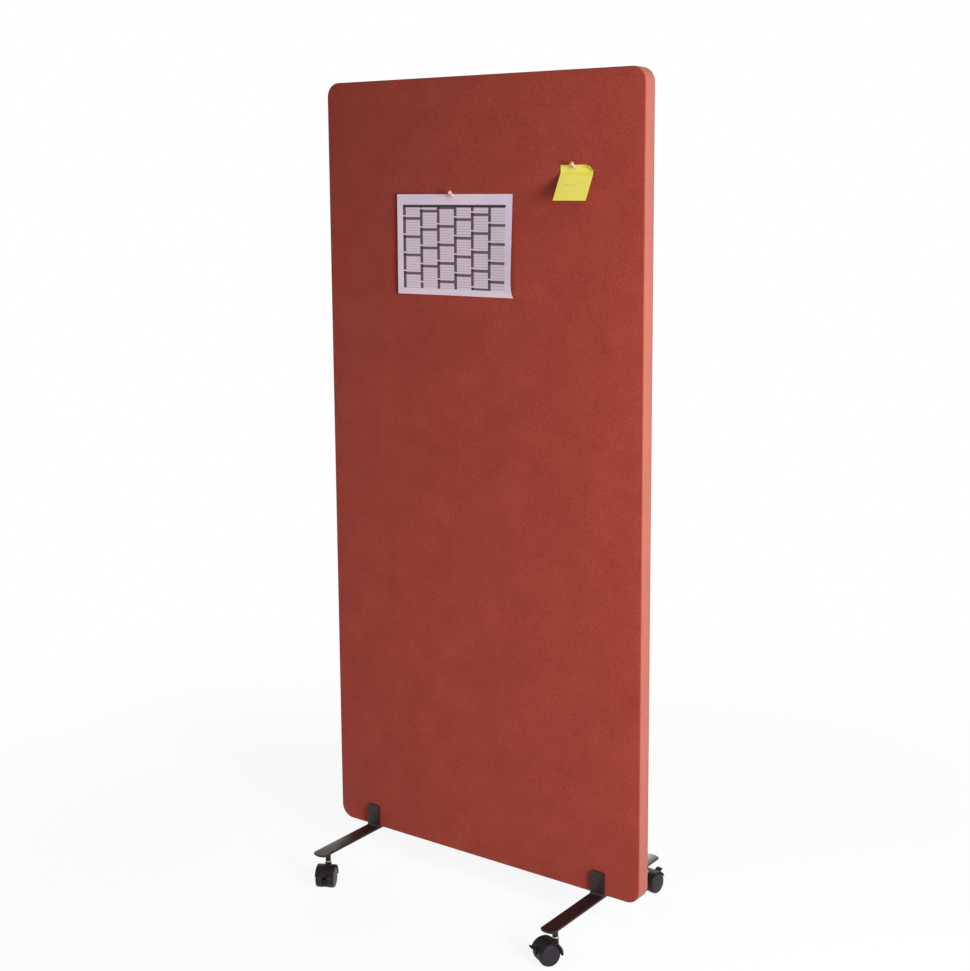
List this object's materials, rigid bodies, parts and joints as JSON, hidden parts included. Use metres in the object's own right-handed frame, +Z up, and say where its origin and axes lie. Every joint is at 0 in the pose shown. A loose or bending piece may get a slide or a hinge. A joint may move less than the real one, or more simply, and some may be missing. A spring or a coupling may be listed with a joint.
{
  "type": "mobile pinboard",
  "caption": "Tall fabric-covered pinboard panel with round corners on flat steel feet, with braked twin-wheel castors, push pins, a pinned calendar sheet and a note.",
  "frame": {"origin": "on the floor, under the middle of the panel", "axes": "+Z up, +X along the panel's width to the right as seen from the front, and the front face towards -Y"},
  "size_m": [0.8, 0.4645, 1.7531],
  "materials": {
    "terracotta_felt": "melange wool felt, terracotta red, matt",
    "rear_felt": "the same melange felt on the rear face",
    "fibre_board": "soft pressed fibre, takes pins",
    "pine_frame": "planed softwood",
    "acoustic_infill": "light wadding",
    "zinc_fixings": "zinc-plated steel",
    "black_powder_coat": "fine-textured black powder coat",
    "zinc_steel": "bright zinc plating",
    "black_castor_plastic": "black moulded nylon",
    "castor_wheel_plastic": "dark grey moulded nylon",
    "brake_lever_plastic": "black moulded nylon",
    "calendar_paper": "printed paper, pale lilac grey",
    "yellow_paper": "yellow note paper",
    "clear_pin_plastic": "clear polystyrene",
    "needle_steel": "polished steel"
  },
  "bodies": {
    "panel": {"front_cover": "terracotta_felt", "rear_cover": "rear_felt", "front_board": "fibre_board", "rear_board": "fibre_board", "top_rail": "pine_frame", "bottom_rail": "pine_frame", "left_stile": "pine_frame", "right_stile": "pine_frame", "acoustic_infill": "acoustic_infill", "left_insert_1": "zinc_fixings", "left_insert_2": "zinc_fixings", "right_insert_1": "zinc_fixings", "right_insert_2": "zinc_fixings", "left_foot_screw_1": "zinc_fixings", "left_foot_screw_2": "zinc_fixings", "right_foot_screw_1": "zinc_fixings", "right_foot_screw_2": "zinc_fixings", "left_foot": "black_powder_coat", "right_foot": "black_powder_coat", "front_left_stem": "zinc_steel", "front_right_stem": "zinc_steel", "rear_left_stem": "zinc_steel", "rear_right_stem": "zinc_steel"},
    "front_left_castor": {"front_left_hood": "black_castor_plastic", "front_left_axle": "zinc_steel"},
    "front_right_castor": {"front_right_hood": "black_castor_plastic", "front_right_axle": "zinc_steel"},
    "rear_left_castor": {"rear_left_hood": "black_castor_plastic", "rear_left_axle": "zinc_steel"},
    "rear_right_castor": {"rear_right_hood": "black_castor_plastic", "rear_right_axle": "zinc_steel"},
    "front_left_left_wheel": {"front_left_wheel_left": "castor_wheel_plastic"},
    "front_left_right_wheel": {"front_left_wheel_right": "castor_wheel_plastic"},
    "front_right_left_wheel": {"front_right_wheel_left": "castor_wheel_plastic"},
    "front_right_right_wheel": {"front_right_wheel_right": "castor_wheel_plastic"},
    "rear_left_left_wheel": {"rear_left_wheel_left": "castor_wheel_plastic"},
    "rear_left_right_wheel": {"rear_left_wheel_right": "castor_wheel_plastic"},
    "rear_right_left_wheel": {"rear_right_wheel_left": "castor_wheel_plastic"},
    "rear_right_right_wheel": {"rear_right_wheel_right": "castor_wheel_plastic"},
    "front_left_brake": {"front_left_brake_lever": "brake_lever_plastic"},
    "front_right_brake": {"front_right_brake_lever": "brake_lever_plastic"},
    "rear_left_brake": {"rear_left_brake_lever": "brake_lever_plastic"},
    "rear_right_brake": {"rear_right_brake_lever": "brake_lever_plastic"},
    "calendar": {"calendar_sheet": "calendar_paper"},
    "calendar_pin": {"calendar_pin_head": "clear_pin_plastic", "calendar_pin_needle": "needle_steel"},
    "note": {"sticky_note": "yellow_paper"},
    "note_pin": {"note_pin_head": "clear_pin_plastic", "note_pin_needle": "needle_steel"}
  },
  "joints": [
    {"name": "front_left_swivel", "type": "hinge", "parent": "panel", "child": "front_left_castor", "pos_m": [-0.302, -0.178, 0.05], "axis": [0, 0, 1], "continuous": true},
    {"name": "front_right_swivel", "type": "hinge", "parent": "panel", "child": "front_right_castor", "pos_m": [0.302, -0.178, 0.05], "axis": [0, 0, 1], "continuous": true},
    {"name": "rear_left_swivel", "type": "hinge", "parent": "panel", "child": "rear_left_castor", "pos_m": [-0.302, 0.178, 0.05], "axis": [0, 0, 1], "continuous": true},
    {"name": "rear_right_swivel", "type": "hinge", "parent": "panel", "child": "rear_right_castor", "pos_m": [0.302, 0.178, 0.05], "axis": [0, 0, 1], "continuous": true},
    {"name": "front_left_left_wheel_spin", "type": "hinge", "parent": "front_left_castor", "child": "front_left_left_wheel", "pos_m": [-0.29285, -0.19522, 0.0225], "axis": [0.8829, 0.4695, 0], "continuous": true},
    {"name": "front_left_right_wheel_spin", "type": "hinge", "parent": "front_left_castor", "child": "front_left_right_wheel", "pos_m": [-0.29285, -0.19522, 0.0225], "axis": [0.8829, 0.4695, 0], "continuous": true},
    {"name": "front_right_left_wheel_spin", "type": "hinge", "parent": "front_right_castor", "child": "front_right_left_wheel", "pos_m": [0.29196, -0.19471, 0.0225], "axis": [0.8572, -0.515, 0], "continuous": true},
    {"name": "front_right_right_wheel_spin", "type": "hinge", "parent": "front_right_castor", "child": "front_right_right_wheel", "pos_m": [0.29196, -0.19471, 0.0225], "axis": [0.8572, -0.515, 0], "continuous": true},
    {"name": "rear_left_left_wheel_spin", "type": "hinge", "parent": "rear_left_castor", "child": "rear_left_left_wheel", "pos_m": [-0.29196, 0.19471, 0.0225], "axis": [-0.8572, 0.515, 0], "continuous": true},
    {"name": "rear_left_right_wheel_spin", "type": "hinge", "parent": "rear_left_castor", "child": "rear_left_right_wheel", "pos_m": [-0.29196, 0.19471, 0.0225], "axis": [-0.8572, 0.515, 0], "continuous": true},
    {"name": "rear_right_left_wheel_spin", "type": "hinge", "parent": "rear_right_castor", "child": "rear_right_left_wheel", "pos_m": [0.3037, 0.19743, 0.0225], "axis": [-0.9962, 0.0872, 0], "continuous": true},
    {"name": "rear_right_right_wheel_spin", "type": "hinge", "parent": "rear_right_castor", "child": "rear_right_right_wheel", "pos_m": [0.3037, 0.19743, 0.0225], "axis": [-0.9962, 0.0872, 0], "continuous": true},
    {"name": "front_left_brake_tilt", "type": "hinge", "parent": "front_left_castor", "child": "front_left_brake", "pos_m": [-0.28559, -0.20886, 0.03072], "axis": [0.8829, 0.4695, 0], "range_deg": [0, 12]},
    {"name": "front_right_brake_tilt", "type": "hinge", "parent": "front_right_castor", "child": "front_right_brake", "pos_m": [0.284, -0.20796, 0.03072], "axis": [0.8572, -0.515, 0], "range_deg": [0, 12]},
    {"name": "rear_left_brake_tilt", "type": "hinge", "parent": "rear_left_castor", "child": "rear_left_brake", "pos_m": [-0.284, 0.20796, 0.03072], "axis": [-0.8572, 0.515, 0], "range_deg": [0, 12]},
    {"name": "rear_right_brake_tilt", "type": "hinge", "parent": "rear_right_castor", "child": "rear_right_brake", "pos_m": [0.30505, 0.21282, 0.03072], "axis": [-0.9962, 0.0872, 0], "range_deg": [0, 12]},
    {"name": "calendar_lift_off", "type": "slide", "parent": "panel", "child": "calendar", "axis": [-0.0934, -0.7603, 0.6428], "range_m": [0, 0.03]},
    {"name": "calendar_pin_pull", "type": "slide", "parent": "calendar", "child": "calendar_pin", "axis": [-0.0934, -0.7603, 0.6428], "range_m": [0, 0.03]},
    {"name": "note_lift_off", "type": "slide", "parent": "panel", "child": "note", "axis": [-0.262, -0.7198, 0.6428], "range_m": [0, 0.03]},
    {"name": "note_pin_pull", "type": "slide", "parent": "note", "child": "note_pin", "axis": [-0.262, -0.7198, 0.6428], "range_m": [0, 0.03]}
  ]
}
